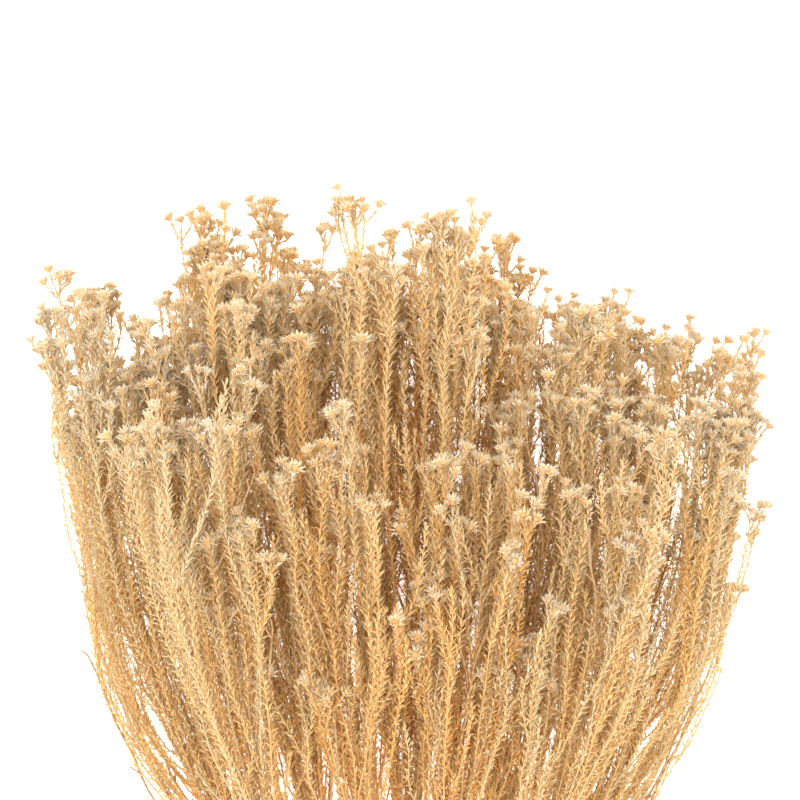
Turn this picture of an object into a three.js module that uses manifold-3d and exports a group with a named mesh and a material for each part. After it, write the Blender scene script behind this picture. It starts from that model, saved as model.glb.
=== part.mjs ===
// A dried bunch of staavia, lying down: sprays of a heath-like shrub, held by one tie near their
// cut ends. Each spray is a bare woody stem, the leafy shoots that it forks into, and the crown of
// flower heads on their tips. Millimetres, +Z up. The stems lie along Y with the heads towards +Y,
// and the bunch rests on the plane Z = 0 on its lowest heads and cut ends.
//
// Everything is placed in the sheaf's own terms (u, v, s). s is the distance from the cut ends, and
// u and v run from -1 to 1 across the bunch and through its thickness. A line of constant u and v
// follows a stem in through the tie and out again, so pieces with cells of their own never meet.

import * as THREE from "three";
import { mergeVertices } from "three/addons/utils/BufferGeometryUtils.js";
import Module from "manifold-3d";

// Driving dimensions of the whole bunch
const LENGTH = 610; // cut ends to the tip of the tallest spray
const CROWN_WIDTH = 372;
const CROWN_THICKNESS = 190;
const CROWN_AT = 560; // from the cut ends to where the bunch is widest
const END_WIDTH = 44; // of the fan of cut ends below the tie
const END_THICKNESS = 34;
const TIE_AT = 85; // from the cut ends to the middle of the tie

// How the stems spread above the tie: a soft bend, then a flare that straightens towards the crown
const TIE_BEND = 0.08;
const FLARE = 1.9;

// The underside: flat on the surface beyond REST_AT, arched between there and the cut ends
const REST_AT = 400;
const ARCH = 10;
const PRESSED = 3.5; // how far the lowest heads are pushed down, and flattened, by the bunch's weight

// Grid of sprays, in shares of the half-width and of the half-thickness
const COLUMN_PITCH = 0.4;
const ROW_PITCH = 0.5;
const LOWEST_ROW = -0.75;

// Woody stems
const STEM_DIAMETER = 4.2;
const STEM_TOP_DIAMETER = 3.4;
const STEM_GAP = 1.0; // between neighbouring stems inside the tie
const FORK_AT = 205; // from the cut ends to where a stem forks into shoots
const FORK_SCATTER = 24;
const CUT_SCATTER = 6; // unevenness of the cut ends
const TWIG_DIAMETER = 2.2;
const TWIG_LENGTH = 34;

// Leafy shoots
const SHOOT_BASE_DIAMETER = 3.6;
const SHOOT_DIAMETER = 12; // over the leaves
const SHOOT_SPREAD_U = 0.11;
const SHOOT_SPREAD_V = 0.12;
const BARE_SHARE = 0.3; // of a shoot's length, before its leaves begin

// Flower heads
const HEADS_DEPTH = 44; // along the shoot
const HEADS_SCATTER = 6; // how unevenly the shoots of one spray end
const HEADS_GAP = 0.8; // from the heads of one spray to its cell's edge
const MOUNDS_JOIN = 1.8; // reach of two neighbouring mounds together, in steps of the spread

// Tie: a band wound round the stems
const TIE_WIDTH = 12;
const TIE_THICKNESS = 1.8;
const TIE_CLEARANCE = 0.3;

const JOINT_GAP = 0.4; // between a stem and its shoots, and between a shoot and its heads

// The sprays: place in the grid, and how far the tip stays below the tallest
const SPRAYS = [
  { column: -1.5, row: 0, below: 42 },
  { column: -0.5, row: 0, below: 20 },
  { column: 0.5, row: 0, below: 14 },
  { column: 1.5, row: 0, below: 50 },
  { column: -2, row: 1, below: 46 },
  { column: -1, row: 1, below: 3 },
  { column: 0, row: 1, below: 18 },
  { column: 1, row: 1, below: 38 },
  { column: 2, row: 1, below: 76 },
  { column: -2, row: 2, below: 66 },
  { column: -1, row: 2, below: 34 },
  { column: 0, row: 2, below: 0 },
  { column: 1, row: 2, below: 62 },
  { column: 2, row: 2, below: 98 },
  { column: -1.5, row: 3, below: 64 },
  { column: -0.5, row: 3, below: 88 },
  { column: 0.5, row: 3, below: 112 },
  { column: 1.5, row: 3, below: 92 },
];

// Each spray's shoots, as steps of the spread either side of its middle
const SHOOTS = [
  { across: 0, up: 0 },
  { across: -1, up: -1 },
  { across: 1, up: -1 },
  { across: -1, up: 1 },
  { across: 1, up: 1 },
];

const bark = new THREE.MeshStandardMaterial({ color: 0xb08a58, roughness: 0.85, metalness: 0 });
const leaf = new THREE.MeshStandardMaterial({ color: 0xcdb083, roughness: 0.9, metalness: 0 });
const flower = new THREE.MeshStandardMaterial({ color: 0xdccfae, roughness: 0.9, metalness: 0 });
const elastic = new THREE.MeshStandardMaterial({ color: 0xb98d4f, roughness: 0.6, metalness: 0 });

const { clamp, lerp, seededRandom } = THREE.MathUtils;
const stemRadius = STEM_DIAMETER / 2;
const tieHalfWidth = (STEM_DIAMETER + STEM_GAP) / COLUMN_PITCH;
const tieHalfThickness = (STEM_DIAMETER + STEM_GAP) / ROW_PITCH;

const tieStart = TIE_AT - TIE_WIDTH / 2;
const tieEnd = TIE_AT + TIE_WIDTH / 2;

// 0 inside the tie, 1 where the bunch is widest
function flare(s) {
  const along = clamp((s - tieEnd) / (CROWN_AT - tieEnd), 0, 1);
  const bent = (Math.hypot(along, TIE_BEND) - TIE_BEND) / (Math.hypot(1, TIE_BEND) - TIE_BEND);
  return 1 - (1 - bent) ** FLARE;
}

// Half of the bunch's size at s, given its half-size at the cut ends, in the tie and at the crown
function halfSize(s, atEnds, inTie, atCrown) {
  const below = clamp((tieStart - s) / tieStart, 0, 1);
  return inTie + (atEnds - inTie) * below ** 2 + (atCrown - inTie) * flare(s);
}

function halfWidth(s) {
  return halfSize(s, END_WIDTH / 2, tieHalfWidth, CROWN_WIDTH / 2);
}

function halfThickness(s) {
  return halfSize(s, END_THICKNESS / 2, tieHalfThickness, CROWN_THICKNESS / 2);
}

// Height of the sheaf's underside (v = -1). At the cut ends, the lowest row of stems touches Z = 0.
function underside(s) {
  const along = clamp(s / REST_AT, 0, 1);
  const atEnds = stemRadius - (1 + LOWEST_ROW) * (END_THICKNESS / 2);
  return atEnds * (1 - along) + ARCH * Math.sin(Math.PI * along);
}

// Height of the sheaf's middle (v = 0)
function midHeight(s) {
  return underside(s) + halfThickness(s);
}

function place(u, v, s) {
  return new THREE.Vector3(halfWidth(s) * u, s, midHeight(s) + halfThickness(s) * v);
}

// Moves every vertex of a closed geometry by a function of its place, and keeps its faces
function bend(geometry, move) {
  const places = geometry.attributes.position;
  const point = new THREE.Vector3();
  for (let i = 0; i < places.count; i += 1) {
    point.fromBufferAttribute(places, i);
    const moved = move(point);
    places.setXYZ(i, moved.x, moved.y, moved.z);
  }
  return geometry;
}

// A round bar with a ring at each station, which are values of s. line(share) gives u and v at a
// share of its length, and radius(share) its radius there.
function bar(stations, line, radius, sides) {
  const steps = stations.length - 1;
  const from = stations[0];
  const to = stations[steps];
  const round = new THREE.CylinderGeometry(1, 1, 1, sides, steps);
  return bend(round, (point) => {
    const s = stations[Math.round((point.y + 0.5) * steps)];
    const share = (s - from) / (to - from);
    const { u, v } = line(share);
    const middle = place(u, v, s);
    middle.x += point.x * radius(share);
    middle.z += point.z * radius(share);
    return middle;
  });
}

function evenStations(from, to, steps) {
  return Array.from({ length: steps + 1 }, (_, i) => lerp(from, to, i / steps));
}

const wasm = await Module();
wasm.setup();

function join(geometries) {
  const solids = geometries.map((geometry) => {
    geometry.deleteAttribute("normal");
    geometry.deleteAttribute("uv");
    const merged = mergeVertices(geometry);
    const vertProperties = merged.attributes.position.array;
    const triVerts = new Uint32Array(merged.index.array);
    return new wasm.Manifold(new wasm.Mesh({ numProp: 3, vertProperties, triVerts }));
  });
  const whole = solids.reduce((sum, solid) => sum.add(solid)).getMesh();
  const joined = new THREE.BufferGeometry();
  joined.setAttribute("position", new THREE.BufferAttribute(whole.vertProperties, 3));
  joined.setIndex(new THREE.BufferAttribute(whole.triVerts, 1));
  joined.computeVertexNormals();
  return joined;
}

// A bare woody stem from its cut end to the fork, with the stubs of two side twigs
function stem(spray) {
  const { u, v, cutAt, forkAt } = spray;
  const stations = [
    ...evenStations(cutAt, tieStart, 2),
    ...evenStations(tieEnd, forkAt - JOINT_GAP, 5),
  ];
  const thickness = (share) => lerp(STEM_DIAMETER, STEM_TOP_DIAMETER, share) / 2;
  const parts = [bar(stations, () => ({ u, v }), thickness, 6)];
  for (const side of [-1, 1]) {
    const foot = lerp(tieEnd, forkAt, side < 0 ? 0.5 : 0.7);
    const reach = side * 0.25 * COLUMN_PITCH;
    const rise = spray.twigTilt * side * 0.2 * ROW_PITCH;
    const line = (share) => ({ u: u + reach * share, v: v + rise * share });
    const radius = (share) => (TWIG_DIAMETER / 2) * (1 - 0.3 * share);
    parts.push(bar([foot, foot + TWIG_LENGTH], line, radius, 5));
  }
  return join(parts);
}

// A spray's shoots leave the fork together, bare at first, then thick with leaves up to the tips
function shoots(spray) {
  const { u, v, forkAt } = spray;
  const bare = SHOOT_BASE_DIAMETER / 2;
  const leafy = SHOOT_DIAMETER / 2;
  const bars = SHOOTS.map((shoot, i) => {
    const line = (share) => ({
      u: u + shoot.across * SHOOT_SPREAD_U * Math.sin((Math.PI / 2) * share),
      v: v + shoot.up * SHOOT_SPREAD_V * Math.sin((Math.PI / 2) * share),
    });
    const radius = (share) => {
      const swell = clamp(share / BARE_SHARE, 0, 1);
      return lerp(bare, leafy, swell ** 2) * (1 - 0.15 * share ** 4);
    };
    return bar(evenStations(forkAt, spray.tips[i], 5), line, radius, 5);
  });
  return join(bars);
}

// How far a mound of heads reaches to its side. The outer ones end at the cell's edge, and the
// middle one reaches far enough to grow into them.
function moundReach(pitch, spread, gap, isMiddle) {
  const outer = pitch / 2 - spread - gap;
  return isMiddle ? Math.max(outer, MOUNDS_JOIN * spread - outer) : outer;
}

// One crown of flower heads: a low bumpy cap, with a mound over each shoot's tip
function heads(spray) {
  const { u, v } = spray;
  const deep = HEADS_DEPTH / 2;
  const mounds = SHOOTS.map((shoot, i) => {
    const middle = spray.tips[i] + JOINT_GAP + deep;
    const isMiddle = shoot.across === 0;
    const gapU = HEADS_GAP / halfWidth(middle);
    const gapV = HEADS_GAP / halfThickness(middle);
    const reachU = moundReach(COLUMN_PITCH, SHOOT_SPREAD_U, gapU, isMiddle);
    const reachV = moundReach(ROW_PITCH, SHOOT_SPREAD_V, gapV, isMiddle);
    const mound = new THREE.SphereGeometry(1, 6, 5);
    return bend(mound, (point) => {
      const across = u + shoot.across * SHOOT_SPREAD_U + point.x * reachU;
      const up = v + shoot.up * SHOOT_SPREAD_V + point.z * reachV;
      const put = place(across, up, middle + point.y * deep);
      if (spray.row === 0) {
        put.z = Math.max(0, put.z - PRESSED);
      }
      return put;
    });
  });
  return join(mounds);
}

// The tie follows the outermost stems round: straight runs between them, and an arc over each. Along
// its width it keeps the stems' slope.
function tie() {
  const corners = [
    [2, 2],
    [1.5, 3],
    [-1.5, 3],
    [-2, 2],
    [-2, 1],
    [-1.5, 0],
    [1.5, 0],
    [2, 1],
  ].map(([column, row]) => place(column * COLUMN_PITCH, LOWEST_ROW + row * ROW_PITCH, tieEnd));

  // Directions of the straight runs before and after a corner, as angles of their outward side
  const facing = (from, to) => Math.atan2(to.z - from.z, to.x - from.x) - Math.PI / 2;
  const outline = (radius) => {
    const path = new THREE.Path();
    corners.forEach((corner, i) => {
      const before = corners[(i + corners.length - 1) % corners.length];
      const after = corners[(i + 1) % corners.length];
      const start = facing(before, corner);
      const turn = THREE.MathUtils.euclideanModulo(facing(corner, after) - start, 2 * Math.PI);
      path.absarc(corner.x, corner.z, radius, start, start + turn, false);
    });
    path.closePath();
    return path.getPoints(1);
  };
  const inside = stemRadius + TIE_CLEARANCE;
  const ring = new THREE.Shape(outline(inside + TIE_THICKNESS));
  ring.holes.push(new THREE.Path(outline(inside)));
  const band = new THREE.ExtrudeGeometry(ring, { depth: TIE_WIDTH, bevelEnabled: false });
  band.rotateX(Math.PI / 2);
  band.translate(0, tieEnd, -midHeight(tieEnd));
  return bend(band, (point) => point.setZ(point.z + midHeight(point.y)));
}

const bunch = new THREE.Group();

function add(name, geometry, material) {
  const mesh = new THREE.Mesh(geometry, material);
  mesh.name = name;
  bunch.add(mesh);
}

seededRandom(7);
SPRAYS.forEach(({ column, row, below }, i) => {
  const top = LENGTH - below;
  const spray = {
    row,
    u: column * COLUMN_PITCH,
    v: LOWEST_ROW + row * ROW_PITCH,
    cutAt: i === 0 ? 0 : seededRandom() * CUT_SCATTER,
    forkAt: FORK_AT + (seededRandom() - 0.5) * 2 * FORK_SCATTER,
    twigTilt: seededRandom() < 0.5 ? -1 : 1,
  };
  // The first shoot is the spray's leader, and the others end a little lower
  spray.tips = SHOOTS.map((shoot, n) => {
    const lower = n === 0 ? 0 : seededRandom() * HEADS_SCATTER;
    return top - HEADS_DEPTH - JOINT_GAP - lower;
  });
  const number = String(i + 1).padStart(2, "0");
  add(`stem_${number}`, stem(spray), bark);
  add(`shoots_${number}`, shoots(spray), leaf);
  add(`heads_${number}`, heads(spray), flower);
});
add("tie_band", tie(), elastic);

// The origin is the middle of the bunch's footprint, on the surface that it lies on
const box = new THREE.Box3().setFromObject(bunch);
const middle = box.getCenter(new THREE.Vector3());
bunch.position.set(-middle.x, -middle.y, -box.min.z);
bunch.updateMatrixWorld(true);

export default bunch;
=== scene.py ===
import math

import bpy
import numpy as np
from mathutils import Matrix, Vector


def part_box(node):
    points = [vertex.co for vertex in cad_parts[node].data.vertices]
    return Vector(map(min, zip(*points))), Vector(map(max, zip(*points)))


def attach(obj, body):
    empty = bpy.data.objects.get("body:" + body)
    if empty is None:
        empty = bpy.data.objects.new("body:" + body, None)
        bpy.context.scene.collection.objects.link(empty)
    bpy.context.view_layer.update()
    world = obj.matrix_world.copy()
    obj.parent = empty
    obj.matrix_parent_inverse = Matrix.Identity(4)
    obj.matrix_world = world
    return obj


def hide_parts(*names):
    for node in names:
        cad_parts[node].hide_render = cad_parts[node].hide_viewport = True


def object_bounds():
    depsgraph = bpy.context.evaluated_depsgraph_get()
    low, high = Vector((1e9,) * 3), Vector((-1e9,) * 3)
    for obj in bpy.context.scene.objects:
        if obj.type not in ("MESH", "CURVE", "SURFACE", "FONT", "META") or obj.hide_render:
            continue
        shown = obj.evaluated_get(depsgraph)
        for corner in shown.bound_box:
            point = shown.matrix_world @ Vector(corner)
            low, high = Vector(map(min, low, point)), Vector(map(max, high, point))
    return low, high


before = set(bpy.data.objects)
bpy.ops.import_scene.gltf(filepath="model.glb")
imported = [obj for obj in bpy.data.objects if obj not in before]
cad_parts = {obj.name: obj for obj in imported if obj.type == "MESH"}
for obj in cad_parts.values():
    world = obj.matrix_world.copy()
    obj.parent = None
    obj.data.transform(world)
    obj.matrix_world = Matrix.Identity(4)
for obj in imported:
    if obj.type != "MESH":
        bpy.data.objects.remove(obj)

cad_low, cad_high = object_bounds()

# ---------------------------------------------------------------------------------------------
# Woody stems: thin straw-brown bark, fluted where it dried, with the knots of old leaves and the
# stubs of pruned twigs. Each was cut below the tie, which shows pale wood round a dark pith.

# The stems run in through the tie and fan out again. Everything in the bunch is placed in the
# sheaf's own terms: s along it from the cut ends, and u and v from -1 to 1 across it and through
# its thickness, so that a line of constant u and v follows a stem.
CROWN_HALF_WIDTH = 0.186
CROWN_HALF_THICKNESS = 0.095
CROWN_AT = 0.560
END_HALF_WIDTH = 0.022
END_HALF_THICKNESS = 0.017
REST_AT = 0.400
ARCH = 0.010
TIE_BEND = 0.08
FLARE = 1.9
COLUMN_PITCH = 0.4
ROW_PITCH = 0.5
LOWEST_ROW = -0.75
STEM_RADIUS = 0.0021
STEM_TOP_RADIUS = 0.0017
STEM_GAP = 0.001

band_low, band_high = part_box("tie_band")
TIE_START = band_low.y - cad_low.y
TIE_END = band_high.y - cad_low.y
TIE_HALF_WIDTH = (2 * STEM_RADIUS + STEM_GAP) / COLUMN_PITCH
TIE_HALF_THICKNESS = (2 * STEM_RADIUS + STEM_GAP) / ROW_PITCH


def half_size(s, at_ends, in_tie, at_crown):
    below = np.clip((TIE_START - s) / TIE_START, 0, 1)
    along = np.clip((s - TIE_END) / (CROWN_AT - TIE_END), 0, 1)
    bent = (np.hypot(along, TIE_BEND) - TIE_BEND) / (math.hypot(1, TIE_BEND) - TIE_BEND)
    flare = 1 - (1 - bent) ** FLARE
    return in_tie + (at_ends - in_tie) * below**2 + (at_crown - in_tie) * flare


def half_width(s):
    return half_size(s, END_HALF_WIDTH, TIE_HALF_WIDTH, CROWN_HALF_WIDTH)


def half_thickness(s):
    return half_size(s, END_HALF_THICKNESS, TIE_HALF_THICKNESS, CROWN_HALF_THICKNESS)


def mid_height(s):
    along = np.clip(s / REST_AT, 0, 1)
    at_ends = STEM_RADIUS - (1 + LOWEST_ROW) * END_HALF_THICKNESS
    return at_ends * (1 - along) + ARCH * np.sin(math.pi * along) + half_thickness(s)


def in_sheaf(u, v, s):
    """Places of points given in the sheaf's terms, as rows of x, y and z."""
    u, v, s = np.broadcast_arrays(u, v, s)
    x = half_width(s) * u
    z = mid_height(s) + half_thickness(s) * v
    return np.stack([x, s + cad_low.y, z], axis=-1)


def unit(rows):
    return rows / np.maximum(np.linalg.norm(rows, axis=-1, keepdims=True), 1e-12)


def ease(share):
    share = np.clip(share, 0, 1)
    return share * share * (3 - 2 * share)


def directions(path):
    """Unit directions forward along a path, to its side and up from it."""
    forward = unit(np.gradient(path, axis=-2))
    sideways = unit(np.cross(forward, [0, 0, 1.0]))
    return forward, sideways, np.cross(sideways, forward)


def tube_faces(rings, sides):
    """Triangles of a closed tube, with its points numbered ring by ring."""
    found = []
    for ring in range(rings - 1):
        for side in range(sides):
            a = ring * sides + side
            b = ring * sides + (side + 1) % sides
            found += [(a, b + sides, b), (a, a + sides, b + sides)]
    found += [(0, side, side + 1) for side in range(1, sides - 1)]
    last = (rings - 1) * sides
    found += [(last, last + side + 1, last + side) for side in range(1, sides - 1)]
    return np.array(found)


def tube_points(path, radius, sides):
    """Points of a tube round a path, ring by ring. radius is per ring, or per ring and side."""
    _, sideways, up = directions(path)
    turn = 2 * math.pi * np.arange(sides) / sides
    around = sideways[:, None] * np.cos(turn)[:, None] + up[:, None] * np.sin(turn)[:, None]
    radius = np.broadcast_to(np.reshape(radius, (len(path), -1)), (len(path), sides))
    return (path[:, None] + around * radius[:, :, None]).reshape(-1, 3)


class Heap:
    """Vertices and faces gathered until one piece of the bunch is complete, with two tints: the
    tone of each part, from brown to cream, and how far along the part a point is."""

    def __init__(self):
        self.parts = []
        self.count = 0

    def add(self, points, faces, slot=0, tone=0.5, along=0.5, across=0.5):
        """points is (n, 3), or (copies, n, 3) with one tone per copy."""
        points = points if points.ndim == 3 else points[None]
        copies, n = points.shape[:2]
        shift = n * np.arange(copies)[:, None, None]
        tones = np.broadcast_to(np.reshape(tone, (-1, 1)), (copies, n))
        self.add_mixed(
            points.reshape(-1, 3),
            (faces[None] + shift).reshape(-1, 3),
            np.full(copies * len(faces), slot),
            tones.ravel(),
            np.broadcast_to(along, (copies, n)).ravel(),
            np.broadcast_to(across, (copies, n)).ravel(),
        )

    def add_mixed(self, points, faces, slots, tone, along, across):
        """Adds one part whose faces have slots, and whose points have tints, of their own."""
        self.parts.append((points, faces + self.count, slots, tone, along, across))
        self.count += len(points)

    def piece(self, name, materials, node, smooth=False, palette=False):
        """Makes the gathered mesh one object, which stands for a CAD node and moves with the bunch."""
        points, faces, slots, tone, along, across = map(np.concatenate, zip(*self.parts))
        points[:, 2] = np.maximum(points[:, 2], 0)
        mesh = bpy.data.meshes.new(name)
        mesh.vertices.add(len(points))
        mesh.vertices.foreach_set("co", points.astype(np.float32).ravel())
        mesh.loops.add(faces.size)
        mesh.loops.foreach_set("vertex_index", faces.astype(np.int32).ravel())
        mesh.polygons.add(len(faces))
        mesh.polygons.foreach_set("loop_start", np.arange(0, faces.size, 3, dtype=np.int32))
        for material in materials:
            mesh.materials.append(material)
        mesh.polygons.foreach_set("material_index", slots.astype(np.int32))
        mesh.polygons.foreach_set("use_smooth", np.full(len(faces), smooth))
        for label, values in (("tone", tone), ("along", along)):
            layer = mesh.attributes.new(label, "FLOAT", "POINT")
            layer.data.foreach_set("value", values.astype(np.float32))
        if palette:
            # Each face lies where its own tints are, on a strip of the map for each material
            corners = faces.ravel()
            u = np.clip(0.04 + 0.92 * tone + 0.02 * (across - 0.5), 0.01, 0.99)[corners]
            v = (0.03 + 0.94 * along)[corners]
            u = (np.repeat(slots, 3) + u) / len(materials)
            spots = mesh.uv_layers.new(name="OFBake")
            spots.uv.foreach_set("vector", np.stack([u, v], -1).astype(np.float32).ravel())
        mesh.update(calc_edges=True)
        mesh.validate()
        made = bpy.data.objects.new(name, mesh)
        bpy.context.scene.collection.objects.link(made)
        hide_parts(node)
        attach(made, "root")
        return made


def new_group(name, inputs, outputs):
    """A shader node group with named sockets. Each is a name with its kind, and a value if any."""
    group = bpy.data.node_groups.new(name, "ShaderNodeTree")
    for label, kind, value in inputs:
        made = group.interface.new_socket(label, in_out="INPUT", socket_type="NodeSocket" + kind)
        made.default_value = value
    for label, kind in outputs:
        group.interface.new_socket(label, in_out="OUTPUT", socket_type="NodeSocket" + kind)
    return group, group.nodes.new("NodeGroupInput"), group.nodes.new("NodeGroupOutput")


def mix_colours(tree, factor, first, second):
    """The result of mixing two colour sockets by a factor socket."""
    mix = tree.nodes.new("ShaderNodeMix")
    mix.data_type = "RGBA"
    tree.links.new(factor, mix.inputs[0])
    tree.links.new(first, mix.inputs[6])
    tree.links.new(second, mix.inputs[7])
    return mix.outputs[2]


def remap(tree, value, low, high, to_low, to_high):
    """A value socket, brought from one range to another and held inside it."""
    node = tree.nodes.new("ShaderNodeMapRange")
    tree.links.new(value, node.inputs["Value"])
    for label, number in (("From Min", low), ("From Max", high), ("To Min", to_low), ("To Max", to_high)):
        node.inputs[label].default_value = number
    return node.outputs["Result"]


def noise(tree, place, scale, detail):
    node = tree.nodes.new("ShaderNodeTexNoise")
    tree.links.new(place, node.inputs["Vector"])
    node.inputs["Scale"].default_value = scale
    node.inputs["Detail"].default_value = detail
    return node.outputs["Fac"]


def bark_grain():
    """Long fibres and blotches that run along the stems, and the height of their ridges."""
    inputs = [
        ("Light bark", "Color", (0.5, 0.36, 0.2, 1)),
        ("Dark bark", "Color", (0.25, 0.15, 0.07, 1)),
        ("Grey bloom", "Color", (0.45, 0.4, 0.33, 1)),
        ("Fibres", "Float", 900.0),
    ]
    group, given, result = new_group(
        "bark_grain", inputs, [("Colour", "Color"), ("Roughness", "Float"), ("Height", "Float")]
    )
    place = group.nodes.new("ShaderNodeTexCoord")
    stretch = group.nodes.new("ShaderNodeVectorMath")
    stretch.operation = "MULTIPLY"
    stretch.inputs[1].default_value = (1.0, 0.07, 1.0)
    group.links.new(place.outputs["Object"], stretch.inputs[0])
    fibres = group.nodes.new("ShaderNodeTexNoise")
    group.links.new(stretch.outputs[0], fibres.inputs["Vector"])
    group.links.new(given.outputs["Fibres"], fibres.inputs["Scale"])
    fibres.inputs["Detail"].default_value = 5
    blotches = noise(group, place.outputs["Object"], 90.0, 3)
    streaked = mix_colours(
        group,
        remap(group, fibres.outputs["Fac"], 0.35, 0.65, 0, 1),
        given.outputs["Dark bark"],
        given.outputs["Light bark"],
    )
    bloomed = mix_colours(
        group, remap(group, blotches, 0.52, 0.68, 0, 0.6), streaked, given.outputs["Grey bloom"]
    )
    group.links.new(bloomed, result.inputs["Colour"])
    group.links.new(remap(group, fibres.outputs["Fac"], 0.3, 0.7, 0.9, 0.7), result.inputs["Roughness"])
    group.links.new(fibres.outputs["Fac"], result.inputs["Height"])
    return group


def new_material(name, group, colours, roughness="Roughness", specular=0.3):
    """A material whose colour and roughness come from a node group. Returns it with its nodes."""
    material = bpy.data.materials.new(name)
    material.use_nodes = True
    tree = material.node_tree
    shader = tree.nodes["Principled BSDF"]
    shader.inputs["Specular IOR Level"].default_value = specular
    node = tree.nodes.new("ShaderNodeGroup")
    node.node_tree = group
    for label, value in colours.items():
        node.inputs[label].default_value = value
    tree.links.new(node.outputs["Colour"], shader.inputs["Base Color"])
    tree.links.new(node.outputs[roughness], shader.inputs["Roughness"])
    return material, tree, node, shader


def srgb(red, green, blue):
    """A colour given as it looks on a screen, from 0 to 255."""
    def linear(level):
        level = level / 255
        return level / 12.92 if level <= 0.04045 else ((level + 0.055) / 1.055) ** 2.4
    return (linear(red), linear(green), linear(blue), 1)


def bark_material(name, light, dark, bloom, fibres, depth):
    colours = {"Light bark": light, "Dark bark": dark, "Grey bloom": bloom, "Fibres": fibres}
    material, tree, node, shader = new_material(name, BARK_GRAIN, colours)
    bump = tree.nodes.new("ShaderNodeBump")
    bump.inputs["Distance"].default_value = depth
    tree.links.new(node.outputs["Height"], bump.inputs["Height"])
    tree.links.new(bump.outputs["Normal"], shader.inputs["Normal"])
    return material


BARK_GRAIN = bark_grain()
bark = bark_material(
    "bark", srgb(196, 158, 112), srgb(138, 98, 58), srgb(170, 152, 128), 900, 0.0003
)
cut_wood = bark_material(
    "cut_wood", srgb(226, 200, 158), srgb(190, 152, 104), srgb(214, 190, 150), 2600, 0.0001
)
pith = bark_material("pith", srgb(128, 88, 52), srgb(92, 60, 34), srgb(120, 92, 62), 2600, 0.0001)

KNOT_EVERY = 0.013
KNOT_HEIGHT = 0.00035
FLUTE_DEPTH = 0.00009
STEM_SIDES = 12


def barked(path, thickness, sides, draw):
    """Points of a stem with flutes, and with knots at the feet of its old leaves."""
    length = np.concatenate([[0], np.cumsum(np.linalg.norm(np.diff(path, axis=0), axis=1))])
    turn = 2 * math.pi * np.arange(sides) / sides
    radius = np.repeat(np.asarray(thickness)[:, None], sides, axis=1)
    radius += FLUTE_DEPTH * np.cos(4 * turn + draw.uniform(0, 6) + 40 * length[:, None])
    for foot in np.arange(draw.uniform(0.2, 1) * KNOT_EVERY, length[-1], KNOT_EVERY):
        facing = np.clip(np.cos(turn - draw.uniform(0, 2 * math.pi)), 0, 1) ** 3
        nearby = np.exp(-(((length - foot - draw.uniform(-0.003, 0.003)) / 0.0016) ** 2))
        radius += KNOT_HEIGHT * draw.uniform(0.4, 1) * nearby[:, None] * facing
    return tube_points(path, radius, sides)


class Spray:
    """One stem's place in the sheaf, read from its CAD nodes."""

    def __init__(self, number):
        self.number = f"{number:02d}"
        stem_low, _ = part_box("stem_" + self.number)
        shoots_low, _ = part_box("shoots_" + self.number)
        heads_low, heads_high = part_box("heads_" + self.number)
        self.cut_at = stem_low.y - cad_low.y
        self.fork_at = shoots_low.y - cad_low.y
        self.top = heads_high.y - cad_low.y
        middle = (heads_low + heads_high) / 2
        column = middle.x / half_width(self.top) / COLUMN_PITCH
        row = ((middle.z - mid_height(self.top)) / half_thickness(self.top) - LOWEST_ROW) / ROW_PITCH
        self.row = round(row)
        self.u = round(2 * column) / 2 * COLUMN_PITCH
        self.v = LOWEST_ROW + self.row * ROW_PITCH


SPRAYS = [Spray(n + 1) for n in range(sum(name.startswith("stem_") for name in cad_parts))]

for spray in SPRAYS:
    draw = np.random.default_rng([1, int(spray.number)])
    heap = Heap()
    s = np.linspace(spray.cut_at, spray.fork_at, 92)
    free = ease(np.maximum(TIE_START - s, s - TIE_END) / 0.05)
    path = in_sheaf(spray.u, spray.v, s)
    sway = np.sin(s[:, None] * draw.uniform(45, 70, 2) + draw.uniform(0, 6, 2)) * [0.0013, 0.0008]
    path[:, 0] += free * sway[:, 0]
    path[:, 2] += free * np.where(spray.row > 0, sway[:, 1], np.abs(sway[:, 1]))
    thickness = np.linspace(STEM_RADIUS, STEM_TOP_RADIUS, len(s))
    heap.add(barked(path, thickness, STEM_SIDES, draw), tube_faces(len(s), STEM_SIDES))
    # The sawn end: a disc of wood just proud of the bark, and the pith in its middle
    outwards = unit(path[0] - path[4])
    for slot, share, proud in ((1, 0.86, 0.0003), (2, 0.26, 0.00045)):
        disc = path[0] + outwards * np.array([[-0.0012], [proud * 0.7], [proud]])
        rim = STEM_RADIUS * share * np.array([1, 1, 0.93])
        heap.add(tube_points(disc[::-1], rim[::-1], 14), tube_faces(3, 14), slot)
    # Stubs of pruned twigs, which lean forwards off the stem
    for foot in draw.uniform(TIE_END + 0.02, spray.fork_at - 0.012, 3):
        start = np.array([np.interp(foot, s, path[:, k]) for k in range(3)])
        forward = unit(in_sheaf(spray.u, spray.v, foot + 0.01) - in_sheaf(spray.u, spray.v, foot))
        turn = draw.uniform(0, 2 * math.pi)
        aside = unit(np.cross(forward, [math.cos(turn), 0, math.sin(turn)]))
        reach = np.linspace(0, draw.uniform(0.008, 0.03), 9)[:, None]
        twig = start + forward * reach + aside * 0.55 * reach**0.9 * 0.7
        heap.add(barked(twig, np.linspace(0.0011, 0.0008, 9), 8, draw), tube_faces(9, 8))
    heap.piece("woody_stem_" + spray.number, [bark, cut_wood, pith], "stem_" + spray.number, True)

# ---------------------------------------------------------------------------------------------
# Branches: above its bare foot each stem forks five ways. The branches are thinner and paler than
# the stem, and run on up inside the leaves to carry the shoots.

BRANCH_STEPS = 60
BRANCH_RADIUS = 0.0011
BRANCH_TOP_RADIUS = 0.00045
SPREAD_U = 0.11
SPREAD_V = 0.12
BRANCHES = np.array([(0, 0), (-1, -1), (1, -1), (-1, 1), (1, 1)])

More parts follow.
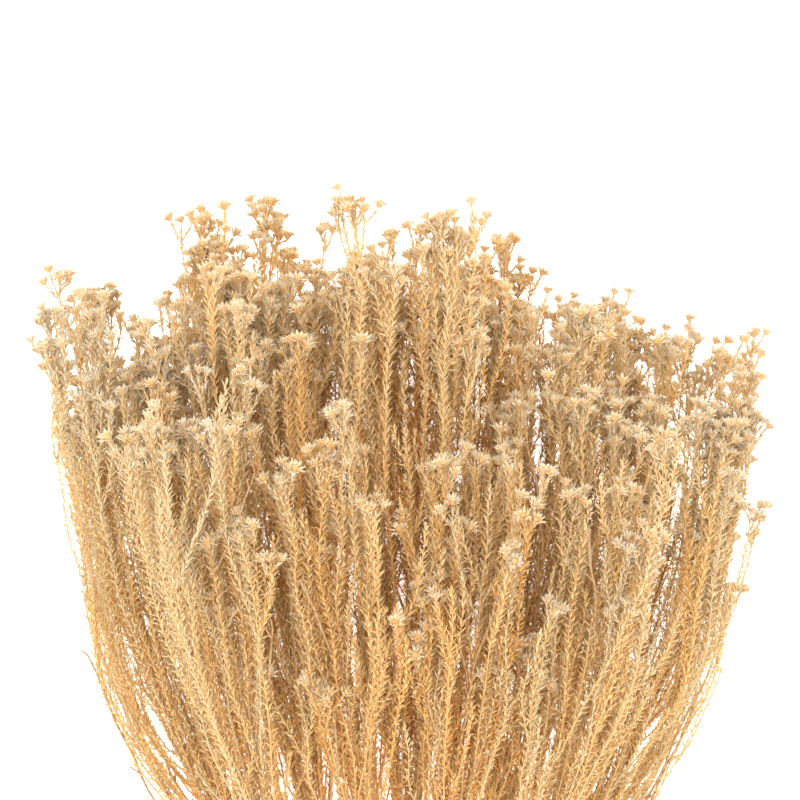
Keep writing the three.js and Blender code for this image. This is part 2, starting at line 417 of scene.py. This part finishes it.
young_bark = bark_material(
    "young_bark", srgb(204, 168, 120), srgb(158, 116, 70), srgb(182, 164, 136), 1200, 0.0002
)


def branch_line(spray, branch, s):
    """u and v of one of a spray's branches at s, which leaves the stem's line at the fork."""
    share = np.clip((s - spray.fork_at) / (spray.top - spray.fork_at), 0, 1)
    spread = np.sin(math.pi / 2 * share)[..., None] * BRANCHES[branch] * [SPREAD_U, SPREAD_V]
    return spray.u + spread[..., 0], spray.v + spread[..., 1]


def bare_twig(heap, spray, from_s, to_s, du, dv, draw):
    """A leafless twig off a spray's middle branch, with the stubs of its own side twigs."""
    s = np.linspace(from_s, to_s, 20)
    opened = ease((s - from_s) / min(0.09, 1.4 * (to_s - from_s)))
    u, v = branch_line(spray, 0, s)
    path = in_sheaf(u + du * opened, np.clip(v + dv * opened, -0.9, 1.02), s)
    path[:, 0] += 0.0006 * np.sin(s * 190 + draw.uniform(0, 6))
    heap.add(barked(path, np.linspace(0.0008, 0.0005, 20), 6, draw), tube_faces(20, 6))
    forward, sideways, up = directions(path)
    for at in draw.integers(9, 20, 4):
        turn = draw.uniform(0, 2 * math.pi)
        aside = sideways[at] * math.cos(turn) + up[at] * math.sin(turn)
        reach = np.linspace(0, draw.uniform(0.003, 0.009), 5)[:, None]
        stub = path[at] + forward[at] * reach * 0.85 + aside * reach * 0.5
        heap.add(barked(stub, np.linspace(0.0005, 0.00045, 5), 5, draw), tube_faces(5, 5))


BRANCH_PATHS = {}
for spray in SPRAYS:
    draw = np.random.default_rng([2, int(spray.number)])
    heap = Heap()
    BRANCH_PATHS[spray.number] = []
    for branch in range(len(BRANCHES)):
        s = np.linspace(spray.fork_at - 0.004, spray.top - draw.uniform(0.06, 0.09), BRANCH_STEPS)
        path = in_sheaf(*branch_line(spray, branch, s), s)
        path[:, 0] += 0.002 * np.sin(s * draw.uniform(40, 80) + draw.uniform(0, 6))
        BRANCH_PATHS[spray.number].append(path)
        thickness = np.linspace(BRANCH_RADIUS, BRANCH_TOP_RADIUS, BRANCH_STEPS)
        heap.add(barked(path, thickness, 7, draw), tube_faces(BRANCH_STEPS, 7))
    # Bare dead twigs: outside the bunch on its outermost stems, and across its front on the others
    if abs(spray.u) > 1.5 * COLUMN_PITCH:
        for _ in range(3):
            out = math.copysign(draw.uniform(0.14, 0.24), spray.u)
            to_s = spray.fork_at + draw.uniform(0.10, 0.18)
            bare_twig(heap, spray, spray.fork_at, to_s, out, draw.uniform(-0.2, 0.2), draw)
    elif spray.row > 1:
        for _ in range(2):
            from_s = draw.uniform(0.30, 0.42)
            side, front = draw.choice([-1, 1]) * draw.uniform(0.08, 0.2), draw.uniform(0.1, 0.24)
            bare_twig(heap, spray, from_s, from_s + draw.uniform(0.05, 0.1), side, front, draw)
    heap.piece("branches_" + spray.number, [young_bark], "shoots_" + spray.number, True)

# ---------------------------------------------------------------------------------------------
# Leafy shoots: slender shoots off the branches, each closely set all round with stiff needle
# leaves that rise and curve outwards. They dried from the foot up: golden brown low down, straw in
# the middle, and cream towards the tips. On top of that, painted shade makes them more golden
# inside the bunch, and painted light makes them paler at its front and sides.

SHOOTS_PER_BRANCH = 5
SHOOT_STEPS = 34
SIDE_STEPS = 9
SHOOT_RADIUS = 0.00055
SHOOT_TOP_RADIUS = 0.0003
LEAF_LENGTH = 0.0056
LEAF_WIDTH = 0.00122
LEAF_SPACING = 0.00104
LEAF_TURN = math.radians(137.5)
BARE_TO = 0.245
FLOOR_GAP = 0.0002


def dry_tint():
    """Colour of a dried part by its tone, from brown to cream, and darker towards brown at its foot as
    painted shade.
    """
    inputs = [
        ("Tone", "Float", 0.5),
        ("Along", "Float", 0.5),
        ("Brown", "Color", (0.2, 0.1, 0.05, 1)),
        ("Gold", "Color", (0.5, 0.3, 0.1, 1)),
        ("Straw", "Color", (0.6, 0.45, 0.25, 1)),
        ("Cream", "Color", (0.8, 0.7, 0.5, 1)),
        ("Painted foot shade", "Float", 0.5),
    ]
    group, given, result = new_group(
        "dry_tint", inputs, [("Colour", "Color"), ("Roughness", "Float")]
    )
    tone, along = given.outputs["Tone"], given.outputs["Along"]
    colour = mix_colours(
        group, remap(group, tone, 0.0, 0.35, 0, 1), given.outputs["Brown"], given.outputs["Gold"]
    )
    colour = mix_colours(group, remap(group, tone, 0.3, 0.68, 0, 1), colour, given.outputs["Straw"])
    colour = mix_colours(group, remap(group, tone, 0.62, 1.0, 0, 1), colour, given.outputs["Cream"])
    # Painted shade: towards its foot each part is mixed with brown, for the shade where leaves and bracts
    # crowd one another
    foot = group.nodes.new("ShaderNodeMath")
    foot.operation = "MULTIPLY"
    group.links.new(remap(group, along, 0.0, 0.75, 1, 0), foot.inputs[0])
    group.links.new(given.outputs["Painted foot shade"], foot.inputs[1])
    colour = mix_colours(group, foot.outputs[0], colour, given.outputs["Brown"])
    group.links.new(colour, result.inputs["Colour"])
    group.links.new(remap(group, tone, 0, 1, 0.7, 0.88), result.inputs["Roughness"])
    return group


DRY_TINT = dry_tint()


# foot is how strongly painted shade darkens each part towards its foot
def tinted_material(name, brown, gold, straw, cream, foot):
    colours = {"Brown": brown, "Gold": gold, "Straw": straw, "Cream": cream, "Painted foot shade": foot}
    material, tree, node, shader = new_material(name, DRY_TINT, colours)
    for label in ("Tone", "Along"):
        layer = tree.nodes.new("ShaderNodeAttribute")
        layer.attribute_name = label.lower()
        tree.links.new(layer.outputs["Fac"], node.inputs[label])
    return material


needle = tinted_material(
    "needle_leaf", srgb(236, 156, 68), srgb(242, 196, 116), srgb(230, 206, 152), srgb(216, 206, 174), 0.42
)
twig_skin = tinted_material(
    "twig_skin", srgb(196, 134, 70), srgb(214, 170, 108), srgb(208, 180, 130), srgb(202, 186, 148), 0.1
)

# A needle leaf is three-sided, with a flat face inwards and a keel outwards, and pointed at both
# ends. Its points are given as share of the length, and of the half-width to the side and outwards.
NEEDLE_POINTS = np.array([(0, 0, 0), (0.38, 1, -0.1), (0.38, -1, -0.1), (0.38, 0, 0.7), (1, 0, 0)])
NEEDLE_FACES = np.array([(0, 1, 2), (0, 2, 3), (0, 3, 1), (4, 2, 1), (4, 3, 2), (4, 1, 3)])
NEEDLE_ACROSS = np.array([0.5, 1, 0, 0.5, 0.5])


def needles(feet, forward, outward, length, width, angle, curl):
    """Points (n, 5, 3) of needle leaves from their feet, leaning off forward towards outward.
    angle is the lean at the foot, and curl how much more it is at the tip."""
    side = np.cross(forward, outward)
    share = NEEDLE_POINTS[:, 0]
    lean = angle[:, None] + curl[:, None] * share
    run = length[:, None] * share
    along = forward[:, None] * (run * np.cos(lean))[..., None]
    away = outward[:, None] * (run * np.sin(lean))[..., None]
    keel = outward[:, None] * np.cos(lean)[..., None] - forward[:, None] * np.sin(lean)[..., None]
    half = width[:, None] / 2
    wide = side[:, None] * (half * NEEDLE_POINTS[:, 1])[..., None]
    thick = keel * (half * NEEDLE_POINTS[:, 2])[..., None]
    points = feet[:, None] + along + away + wide + thick
    points[..., 2] = np.maximum(points[..., 2], FLOOR_GAP)
    return points


def path_lengths(path):
    return np.concatenate([[0], np.cumsum(np.linalg.norm(np.diff(path, axis=0), axis=1))])


def along_path(path, at, *rows):
    """Each of the rows, which have one entry per step of the path, read at distances along it."""
    length = path_lengths(path)
    return [np.stack([np.interp(at, length, row[:, k]) for k in range(3)], axis=-1) for row in rows]


class Shoot:
    """One leafy shoot: its path, how far along it the leaves begin, how far they lean off it, how
    light its tone is, from its own dried tone and from painted shade and light by its place in the
    bunch, how far its tip is below the top of its spray, and u and v of its tip."""

    def __init__(self, path, leaves_from, lean, pale_and_painted_shade, drop, outer):
        self.path = path
        self.path[:, 2] = np.maximum(path[:, 2], 0.0045)
        self.whole = path_lengths(self.path)[-1]
        self.leaves_from = leaves_from
        self.lean = lean
        self.pale_and_painted_shade = pale_and_painted_shade
        self.drop = drop
        self.outer = outer


# A spray's crown is a low mound, and the sheaf's own shoulders fall away beyond SHOULDER_FROM
MOUND_FALL = 0.010
SHOULDER_FROM = 0.84
SHOULDER_FALL = 0.07
TIP_MARGIN = 0.002


def highest_tip(spray, aside):
    """How far up a shoot of a spray may reach where it ends aside of the spray's middle."""
    mound = MOUND_FALL * min((aside / SPREAD_U) ** 2, 2.5)
    shoulder = SHOULDER_FALL * max(abs(spray.u + aside) - SHOULDER_FROM, 0)
    return spray.top - TIP_MARGIN - mound - shoulder


def main_shoot(spray, branch, crest, draw):
    """A shoot off one of a spray's branches. crest is how far that branch's plume ends below the
    top of the spray. Most of its shoots stay in the plume, and the others stray between plumes."""
    if draw.uniform() < 0.52:
        drop = crest + 0.03 * draw.uniform() ** 2
        target = BRANCHES[branch] * [SPREAD_U, SPREAD_V] + draw.normal(0, 1, 2) * [0.042, 0.07]
    else:
        drop = crest + draw.uniform(0.0, 0.14)
        target = draw.uniform(-1, 1, 2) * [COLUMN_PITCH / 2, ROW_PITCH / 2]
    if spray.row == 3:
        drop += draw.uniform(0, 0.09)
    reach = max(highest_tip(spray, target[0]) - drop, spray.fork_at + 0.12)
    leaves_at = spray.fork_at + (reach - spray.fork_at) * draw.uniform(0.0, 0.42)
    return sheaf_shoot(spray, branch, target, leaves_at, reach, drop, draw)


def sheaf_shoot(spray, branch, target, leaves_at, reach, drop, draw):
    """A shoot that leaves a branch at s = leaves_at for an offset from its spray, and ends at s =
    reach."""
    s = np.linspace(leaves_at, reach, SHOOT_STEPS)
    start_u, start_v = branch_line(spray, branch, leaves_at)
    opened = ease((s - leaves_at) / 0.11)
    u = start_u + (spray.u + target[0] - start_u) * opened
    v = start_v + (spray.v + target[1] - start_v) * opened
    # Low down, the outermost shoots bulge past the line that they follow higher up
    u = np.where(abs(u) > 0.9, u * (1.03 - 0.06 * ease((s - 0.34) / 0.1)), u)
    path = in_sheaf(u, np.clip(v, -0.95, 1.0), s)
    for k, size in ((0, 1.0), (2, 0.6)):
        slow = np.sin(s * draw.uniform(22, 42) + draw.uniform(0, 6)) * draw.uniform(0.001, 0.004)
        quick = np.sin(s * draw.uniform(80, 160) + draw.uniform(0, 6)) * draw.uniform(0.0003, 0.0012)
        path[:, k] += (slow + quick) * opened * size
    bare = max(BARE_TO + draw.uniform(-0.02, 0.03), leaves_at + 0.008)
    leaves_from = (bare - leaves_at) / (reach - leaves_at) * path_lengths(path)[-1]
    # Painted shade and light: leaves inside the bunch are made more golden for the shade there, and those
    # at the front and the sides paler where the light falls, on top of a random tone of their own
    pale_and_painted_shade = 0.37 + draw.normal(0, 0.10) + 0.30 * abs(u[-1]) + 0.14 * v[-1]
    return Shoot(path, leaves_from, draw.normal(40, 6), pale_and_painted_shade, drop, np.array([u[-1], v[-1]]))


def side_shoot(parent, draw):
    """A shorter shoot off a main shoot, which bends round to run along beside it."""
    free = parent.whole - max(parent.leaves_from, 0.35 * parent.whole)
    if draw.uniform() < 0.62:
        at = parent.whole - min(draw.uniform(0.022, 0.07), free)
        length = parent.whole - at + draw.uniform(-0.012, 0.004)
    else:
        at = parent.whole - free * draw.uniform(0.06, 0.95)
        length = min(draw.uniform(0.025, 0.085), parent.whole - at + 0.006)
    forward, sideways, up = directions(parent.path)
    longer = np.concatenate([parent.path, parent.path[-1:] + forward[-1] * 0.03])
    share = np.linspace(0, 1, SIDE_STEPS)
    (line,) = along_path(longer, at + length * 0.97 * share, longer)
    (aside,), (above,) = along_path(parent.path, np.array([at]), sideways, up)
    turn = draw.uniform(0, 2 * math.pi)
    away = aside * math.cos(turn) + above * math.sin(turn)
    # At the sides and the front of the bunch, side shoots hardly lean outwards
    if abs(parent.outer[0]) > 0.84 or parent.outer[1] > 0.8:
        away = away * np.where(away * [parent.outer[0], 0, parent.outer[1]] > 0, 0.25, 1)
    reach = length * draw.uniform(0.15, 0.38)
    path = line + away * reach * (1 - (1 - share[:, None]) ** 1.8)
    drop = parent.drop + max(parent.whole - at - length, 0)
    return Shoot(path, 0.002, draw.normal(40, 8), parent.pale_and_painted_shade + draw.normal(0, 0.05), drop, parent.outer)


def dress(heap, shoot, draw):
    """Sets needle leaves round a shoot from its bare foot to its tip."""
    start, whole = max(shoot.leaves_from, 0), shoot.whole
    count = int((whole - 0.0015 - start) / LEAF_SPACING)
    if count < 1:
        return
    at = start + LEAF_SPACING * (np.arange(count) + draw.uniform(-0.35, 0.35, count))
    forward, sideways, up = directions(shoot.path)
    feet, forward, sideways, up = along_path(shoot.path, at, shoot.path, forward, sideways, up)
    turn = LEAF_TURN * np.arange(count) + draw.normal(0, 0.2, count)
    outward = unit(sideways * np.cos(turn)[:, None] + up * np.sin(turn)[:, None])
    # Leaves are few and short on the oldest wood, and fold in over the tip
    height = feet[:, 1] - cad_low.y
    grown = ease((height - 0.2) / 0.22)
    near_tip = np.clip((whole - at) / 0.014, 0, 1)
    kept = draw.uniform(0, 1, count) < 0.3 + 0.7 * grown
    size = LEAF_LENGTH * (0.66 + 0.34 * grown) * draw.uniform(0.8, 1.15, count) * (0.75 + 0.25 * near_tip)
    width = LEAF_WIDTH * draw.uniform(0.85, 1.15, count)
    angle = np.radians(shoot.lean + draw.normal(0, 5, count)) * (0.5 + 0.5 * near_tip)
    curl = np.radians(draw.normal(3, 8, count))
    paler = 0.26 * grown + 0.2 * ease((height - 0.40) / 0.16)
    tone = shoot.pale_and_painted_shade - 0.2 + paler + draw.normal(0, 0.07, count)
    points = needles(feet, forward, outward, size, width, angle, curl)[kept]
    heap.add(points, NEEDLE_FACES, 0, np.clip(tone, 0, 1)[kept], NEEDLE_POINTS[:, 0], NEEDLE_ACROSS)


SHOOTS = {}
for spray in SPRAYS:
    draw = np.random.default_rng([3, int(spray.number)])
    heap = Heap()
    grown = []
    crests = draw.permutation([0.0, 0.006, 0.014, 0.024, 0.036])
    for branch in range(len(BRANCHES)):
        for _ in range(SHOOTS_PER_BRANCH):
            grown.append(main_shoot(spray, branch, crests[branch], draw))
            grown += [side_shoot(grown[-1], draw) for _ in range(draw.integers(2, 5))]
    # The outermost stems throw a few lone shoots out past the rest
    for n in range(6 if abs(spray.u) > 1.5 * COLUMN_PITCH else 0):
        out = math.copysign(draw.uniform(0.12, 0.2), spray.u)
        target = np.array([out, draw.uniform(-0.2, 0.2)])
        drop = 0.018 * n * draw.uniform(0.6, 1.2)
        starts = spray.fork_at + draw.uniform(0, 0.03)
        reach = spray.top - TIP_MARGIN - drop
        grown.append(sheaf_shoot(spray, 0, target, starts, reach, drop, draw))
        grown += [side_shoot(grown[-1], draw) for _ in range(2)]
    for path in BRANCH_PATHS[spray.number]:
        dress(heap, Shoot(path, 0.06, 38, 0.5, 0.1, np.zeros(2)), draw)
    for shoot in grown:
        steps = len(shoot.path)
        sides = 5 if steps == SHOOT_STEPS else 4
        thickness = np.linspace(SHOOT_RADIUS if sides == 5 else 0.00038, SHOOT_TOP_RADIUS, steps)
        tone = np.clip(shoot.pale_and_painted_shade - 0.1, 0, 1)
        heap.add(tube_points(shoot.path, thickness, sides), tube_faces(steps, sides), 1, tone, 0.8)
        dress(heap, shoot, draw)
    SHOOTS[spray.number] = grown
    heap.piece(
        "leafy_shoots_" + spray.number, [needle, twig_skin], "shoots_" + spray.number, palette=True
    )

# ---------------------------------------------------------------------------------------------
# Flower heads: a funnel of small scales, then a ragged star of papery cream bracts in two rounds
# about a tan-orange disc of dried florets. They stand in loose clusters on thin scaly stalks.

HEAD_KINDS = 8
HEAD_SCALE = 0.001
STALK_STEPS = 6
STALK_RADIUS = 0.00034

bract = tinted_material(
    "bract", srgb(228, 166, 90), srgb(232, 198, 140), srgb(222, 207, 170), srgb(212, 206, 186), 0.5
)
floret = tinted_material(
    "floret", srgb(212, 144, 70), srgb(228, 172, 100), srgb(224, 190, 130), srgb(218, 200, 158), 0.4
)


def bracts(count, foot_radius, foot_height, length, width, lean, curl, draw):
    """A round of bracts about the z axis, in millimetres, shaped as needle leaves are."""
    turn = 2 * math.pi * (np.arange(count) + draw.uniform(-0.28, 0.28, count)) / count
    out = np.stack([np.cos(turn), np.sin(turn), np.zeros(count)], -1)
    axis = np.broadcast_to([0, 0, 1.0], out.shape)
    return needles(
        out * foot_radius + axis * foot_height, axis, out, length * draw.uniform(0.78, 1.15, count),
        width * draw.uniform(0.85, 1.15, count), np.radians(lean + draw.normal(0, 8, count)),
        np.radians(curl + draw.normal(0, 12, count)),
    )


def lathe(profile, sides):
    """Points of a closed round form about the z axis, from (radius, height) pairs."""
    turn = 2 * math.pi * np.arange(sides) / sides
    ring = np.stack([np.cos(turn), np.sin(turn), np.zeros(sides)], -1)
    return np.concatenate([ring * radius + [0, 0, height] for radius, height in profile])


def flower_head(draw):
    """One head in millimetres, its axis up z from the top of its stalk, as Heap's arrays."""
    opened = draw.uniform(-9, 12)
    head = Heap()
    funnel = [(0.4, -0.3), (0.9, 0.8), (1.45, 2.1)]
    head.add(lathe(funnel, 6), tube_faces(3, 6)[:, ::-1], 0, 0.35, 0.2)
    disc = [(1.4, 2.05), (1.15, 2.7), (0.5, 3.0)]
    head.add(lathe(disc, 6), tube_faces(3, 6)[:, ::-1], 1, 0.45, 0.4)
    rounds = (
        (10, 1.1, 1.0, 4.0, 1.35, 32 + opened, 14, 0.68), (7, 1.2, 1.8, 2.9, 1.2, 20 + opened, 20, 0.8),
        (6, 0.5, -0.2, 3.0, 1.05, 26, 8, 0.5),
    )
    for count, radius, height, length, width, lean, curl, tone in rounds:
        points = bracts(count, radius, height, length, width, lean, curl, draw)
        head.add(points, NEEDLE_FACES, 0, tone + draw.normal(0, 0.1, count), NEEDLE_POINTS[:, 0])
    for n in range(5):
        radius = 1.0 * math.sqrt((n + 0.4) / 5)
        turn = n * 2.4 + draw.uniform(0, 0.5)
        foot = np.array([radius * math.cos(turn), radius * math.sin(turn), 2.7 - 0.3 * radius])
        spike = lathe([(0.3, 0), (0.1, draw.uniform(0.5, 1.0))], 3) + foot
        head.add(spike, tube_faces(2, 3)[:, ::-1], 1, draw.uniform(0.3, 1.0), 0.8)
    return [np.concatenate(rows) for rows in zip(*head.parts)]


kinds_draw = np.random.default_rng(4)
HEADS = [flower_head(kinds_draw) for _ in range(HEAD_KINDS)]


def set_head(heap, at, axis, size, draw, tint):
    """Sets one head with its foot at a place, facing along axis."""
    points, faces, slots, tone, along, across = HEADS[draw.integers(HEAD_KINDS)]
    sideways = unit(np.cross(axis, [0.31, 0.2, 0.93]))
    above = np.cross(axis, sideways)
    turn = draw.uniform(0, 2 * math.pi)
    first = sideways * math.cos(turn) + above * math.sin(turn)
    placed = at + size * HEAD_SCALE * points @ np.stack([first, np.cross(axis, first), axis])
    placed[:, 2] = np.maximum(placed[:, 2], FLOOR_GAP)
    heap.add_mixed(placed, faces, slots, np.clip(tone + tint, 0, 1), along, across)


def crown(heap, shoot, draw):
    """The heads at one shoot's tip: one on the tip itself, and any others on leafy stalks by it."""
    forward, sideways, up = directions(shoot.path)
    # Outer shoots lean their heads outwards, away from the middle of the bunch
    outwards = np.array([shoot.outer[0], 0, shoot.outer[1]])
    is_main = len(shoot.path) == SHOOT_STEPS
    count = int(draw.integers(4, 8)) if is_main else int(draw.integers(2, 4))
    # The taller a shoot, the surer it flowered, and in front only some did
    flowered = 0.5 - 4 * max(shoot.drop - 0.05, 0) if shoot.outer[1] > 0.6 else 1.15 - 10 * shoot.drop
    if draw.uniform() > flowered:
        return
    # Heads take part of their shoot's tone, and with it its painted shade and light
    tint = draw.normal(0, 0.05) + 0.6 * (shoot.pale_and_painted_shade - 0.5)
    spin = draw.uniform(0, 2 * math.pi)
    for n in range(count):
        back = 0.0 if n == 0 else draw.uniform(0.004, 0.012)
        at = np.array([shoot.whole - back])
        (foot,), (ahead,), (aside,), (above,) = along_path(
            shoot.path, at, shoot.path, forward, sideways, up
        )
        angle = spin + 2 * math.pi * n / max(count - 1, 1) + draw.uniform(-0.4, 0.4)
        away = aside * math.cos(angle) + above * math.sin(angle)
        reach = 0.0 if n == 0 else draw.uniform(0.003, 0.0072)
        rise = 0.001 if n == 0 else back + draw.uniform(-0.003, 0.004)
        if n and draw.uniform() < 0.06:
            rise += draw.uniform(0.004, 0.010)
        line = foot[None] + ahead * rise
        if n:
            share = np.linspace(0, 1, STALK_STEPS)[:, None]
            line = foot + ahead * rise * share + away * reach * share**0.8
            leafy = Shoot(line, 0.001, 28, shoot.pale_and_painted_shade, shoot.drop, shoot.outer)
            thickness = np.full(STALK_STEPS, STALK_RADIUS)
            heap.add(tube_points(line, thickness, 4), tube_faces(STALK_STEPS, 4), 2, 0.4, 0.8)
            dress(heap, leafy, draw)
        lean = draw.uniform(0.1, 0.6) if n else draw.uniform(0.0, 0.2)
        axis = unit(ahead + away * lean + outwards * draw.uniform(0.0, 0.35) + draw.normal(0, 0.1, 3))
        set_head(heap, line[-1], axis, draw.uniform(0.95, 1.25), draw, tint)


for spray in SPRAYS:
    draw = np.random.default_rng([5, int(spray.number)])
    heap = Heap()
    for shoot in SHOOTS[spray.number]:
        crown(heap, shoot, draw)
    heap.piece(
        "flower_heads_" + spray.number, [bract, floret, twig_skin], "heads_" + spray.number,
        palette=True,
    )

# ---------------------------------------------------------------------------------------------
# Tie: a natural rubber band, wound tight round the stems. Its turns lie side by side, and its
# last stretch crosses back over them under the bunch.

BAND_TURNS = 5
BAND_BACK = 0.34
BAND_STEPS = 420
BAND_THICKNESS = 0.0011
BAND_GAP = 0.0003

rubber = bpy.data.materials.new("rubber")
rubber.use_nodes = True
shader = rubber.node_tree.nodes["Principled BSDF"]
tree = rubber.node_tree
place = tree.nodes.new("ShaderNodeTexCoord")
cloud = noise(tree, place.outputs["Object"], 160.0, 4)
ramp = tree.nodes.new("ShaderNodeValToRGB")
ramp.color_ramp.elements[0].color = srgb(176, 128, 70)
ramp.color_ramp.elements[0].position = 0.35
ramp.color_ramp.elements[1].color = srgb(206, 164, 104)
ramp.color_ramp.elements[1].position = 0.7
tree.links.new(cloud, ramp.inputs["Fac"])
tree.links.new(ramp.outputs["Color"], shader.inputs["Base Color"])
tree.links.new(remap(tree, cloud, 0.3, 0.7, 0.45, 0.62), shader.inputs["Roughness"])
fine = noise(tree, place.outputs["Object"], 2400.0, 2)
bump = tree.nodes.new("ShaderNodeBump")
bump.inputs["Distance"].default_value = 0.00008
tree.links.new(fine, bump.inputs["Height"])
tree.links.new(bump.outputs["Normal"], shader.inputs["Normal"])


def band_outline(steps):
    """Places round the tied stems and the outward directions there, by share of the way round."""
    s = TIE_END
    middles = [in_sheaf(spray.u, spray.v, s)[[0, 2]] - [0, mid_height(s)] for spray in SPRAYS]
    middles = np.array(middles)
    facing = 2 * math.pi * np.arange(720) / 720
    outwards = np.stack([np.cos(facing), np.sin(facing)], -1)
    touched = middles[np.argmax(outwards @ middles.T, axis=1)]
    around = touched + outwards * (STEM_RADIUS + BAND_GAP)
    length = np.concatenate([[0], np.cumsum(np.linalg.norm(np.diff(around, axis=0), axis=1))])
    length /= length[-1]
    at = np.linspace(0, 1, steps, endpoint=False)
    point = np.stack([np.interp(at, length, around[:, k]) for k in range(2)], -1)
    out = unit(np.stack([np.interp(at, length, outwards[:, k]) for k in range(2)], -1))
    return point, out


turns = BAND_TURNS * np.arange(BAND_STEPS) / BAND_STEPS
wound = BAND_TURNS - BAND_BACK
back = np.clip((turns - wound) / BAND_BACK, 0, 1)
width = (TIE_END - TIE_START) / BAND_TURNS
advance = np.where(turns < wound, turns / wound, 1 - ease(back))
at_s = TIE_START + width / 2 + (TIE_END - TIE_START - width) * advance
outline, out = band_outline(840)
spot = (turns * 840).astype(int) % 840
lift = BAND_THICKNESS * (0.5 + 1.05 * ease(np.minimum(back, 1 - back) * 4))
flat = outline[spot] + out[spot] * lift[:, None]
path = np.stack([flat[:, 0], at_s + cad_low.y, flat[:, 1] + mid_height(at_s)], -1)
outward = np.stack([out[spot][:, 0], np.zeros(BAND_STEPS), out[spot][:, 1]], -1)
forward = unit(np.roll(path, -1, axis=0) - np.roll(path, 1, axis=0))
across = unit(np.cross(forward, outward))
# The band's section: a flat strip with soft edges
section = np.array([(-0.5, -0.3), (-0.4, -0.5), (0.4, -0.5), (0.5, -0.3), (0.5, 0.3), (0.4, 0.5),
                    (-0.4, 0.5), (-0.5, 0.3)])
sides = len(section)
points = (
    path[:, None]
    + across[:, None] * section[:, 0][:, None] * width * 0.94
    + outward[:, None] * section[:, 1][:, None] * BAND_THICKNESS
)
ring = np.arange(BAND_STEPS)[:, None] * sides
after = (np.arange(BAND_STEPS)[:, None] + 1) % BAND_STEPS * sides
side = np.arange(sides)
a, b = ring + side, ring + (side + 1) % sides
c, d = after + (side + 1) % sides, after + side
faces = np.concatenate([np.stack([a, b, c], -1).reshape(-1, 3), np.stack([a, c, d], -1).reshape(-1, 3)])
heap = Heap()
heap.add(points.reshape(-1, 3), faces)
heap.piece("rubber_band", [rubber], "tie_band", smooth=True)

# ---------------------------------------------------------------------------------------------
# Table, light and camera: a pale table top that glows a little, so that the gaps stay white, a
# broad soft light from above beside the camera, a weaker one from the left, and a camera that
# looks straight down on the bunch.

TABLE_HALF = 4.0
CAMERA_HEIGHT = 1.9
VIEW_WIDTH = 0.400
VIEW_MIDDLE = (-0.0035, 0.196)

table = bpy.data.objects.new("table", bpy.data.meshes.new("table"))
table.data.from_pydata(
    [(-TABLE_HALF, -TABLE_HALF, 0), (TABLE_HALF, -TABLE_HALF, 0), (TABLE_HALF, TABLE_HALF, 0),
     (-TABLE_HALF, TABLE_HALF, 0)], [], [(0, 1, 2, 3)]
)
bpy.context.scene.collection.objects.link(table)
top = bpy.data.materials.new("table_top")
top.use_nodes = True
shader = top.node_tree.nodes["Principled BSDF"]
shader.inputs["Base Color"].default_value = (0.93, 0.93, 0.93, 1)
shader.inputs["Emission Color"].default_value = (1, 1, 1, 1)
shader.inputs["Emission Strength"].default_value = 1.0
shader.inputs["Roughness"].default_value = 0.9
shader.inputs["Specular IOR Level"].default_value = 0.1
table.data.materials.append(top)

world = bpy.data.worlds.new("studio")
world.use_nodes = True
world.node_tree.nodes["Background"].inputs["Color"].default_value = (1.0, 1.0, 1.0, 1)
world.node_tree.nodes["Background"].inputs["Strength"].default_value = 1.7
bpy.context.scene.world = world


def soft_light(name, place, aim, size, power):
    lamp = bpy.data.lights.new(name, "AREA")
    lamp.shape = "DISK"
    lamp.size = size
    lamp.energy = power
    made = bpy.data.objects.new(name, lamp)
    made.location = place
    made.rotation_euler = (Vector(aim) - Vector(place)).to_track_quat("-Z", "Y").to_euler()
    bpy.context.scene.collection.objects.link(made)


soft_light("key_light", (-0.35, 0.5, 1.9), (0, 0.12, 0.08), 0.8, 5)
soft_light("side_light", (-1.3, 0.9, 1.1), (0, 0.12, 0.08), 1.0, 2)

camera = bpy.data.objects.new("camera", bpy.data.cameras.new("camera"))
mid_plane = CROWN_HALF_THICKNESS
camera.location = (VIEW_MIDDLE[0], VIEW_MIDDLE[1], mid_plane + CAMERA_HEIGHT)
camera.rotation_euler = (0, 0, 0)
camera.data.lens = camera.data.sensor_width * CAMERA_HEIGHT / VIEW_WIDTH
camera.data.clip_start = 0.1
camera.data.clip_end = 20
bpy.context.scene.collection.objects.link(camera)
bpy.context.scene.camera = camera
bpy.context.scene.view_settings.view_transform = "Standard"
